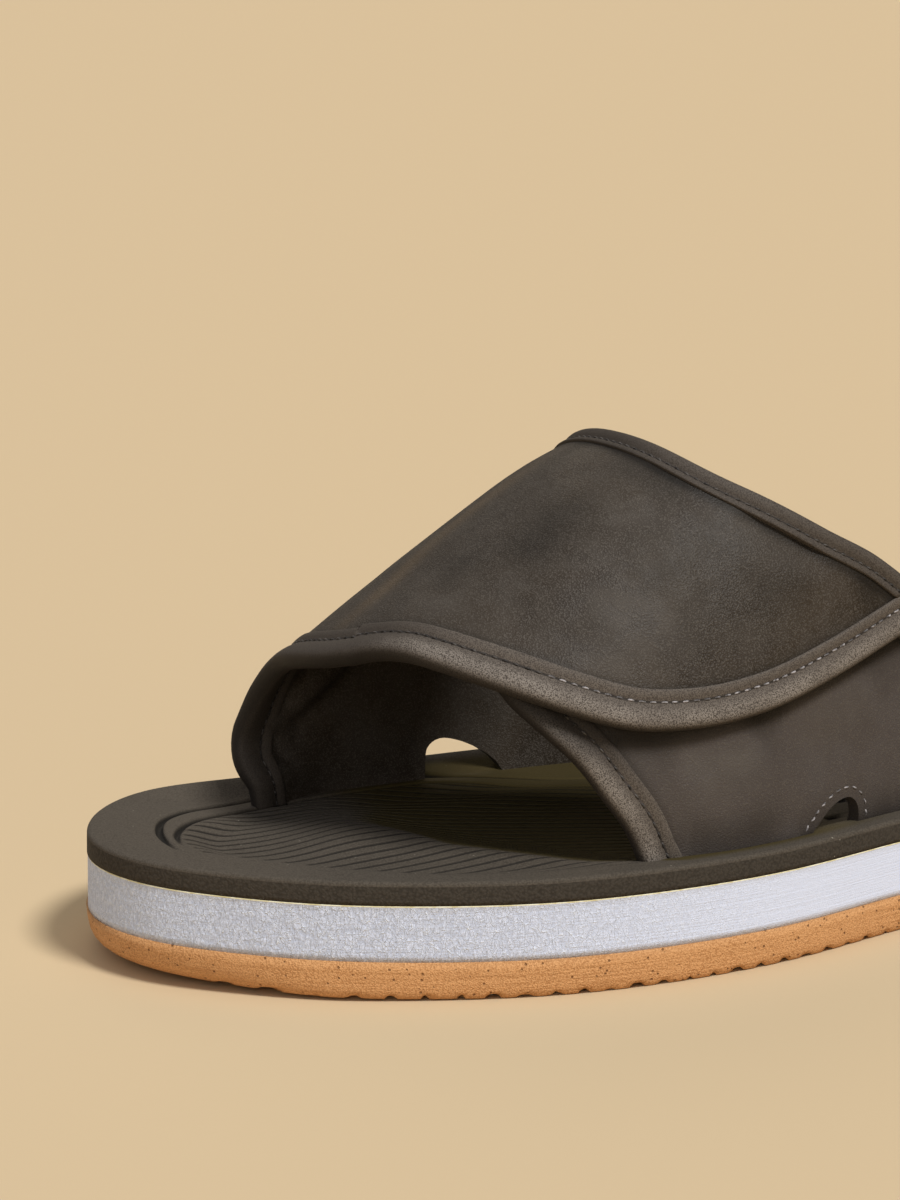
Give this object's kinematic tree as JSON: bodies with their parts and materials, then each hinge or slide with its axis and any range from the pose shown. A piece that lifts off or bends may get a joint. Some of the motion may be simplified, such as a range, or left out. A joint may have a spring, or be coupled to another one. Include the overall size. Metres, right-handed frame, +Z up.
{
  "type": "slip-on sandal",
  "caption": "Left slip-on sandal: a wide leather strap arches over the instep, its flap overlapping on the outer side, on a contoured footbed and a layered foam sole with cut tread.",
  "frame": {"origin": "on the floor, under the middle of the bounding box", "axes": "+X towards the outer side of the left foot, -Y towards the toe, +Z up"},
  "size_m": [0.1094, 0.287, 0.1031],
  "materials": {
    "gum_foam": "matte, fine grained foam rubber",
    "white_foam": "matte, finely wrinkled foam",
    "grey_foam": "matte moulded foam",
    "waxed_nubuck": "waxed nubuck, softly mottled, low sheen",
    "nubuck_tape": "grainy nubuck tape, matte"
  },
  "bodies": {
    "root": {"outsole": "gum_foam", "midsole": "white_foam", "footbed": "grey_foam", "medial_strap": "waxed_nubuck", "lateral_strap": "waxed_nubuck", "medial_front_binding": "nubuck_tape", "medial_back_binding": "nubuck_tape", "lateral_front_binding": "nubuck_tape", "lateral_back_binding": "nubuck_tape"}
  },
  "joints": []
}
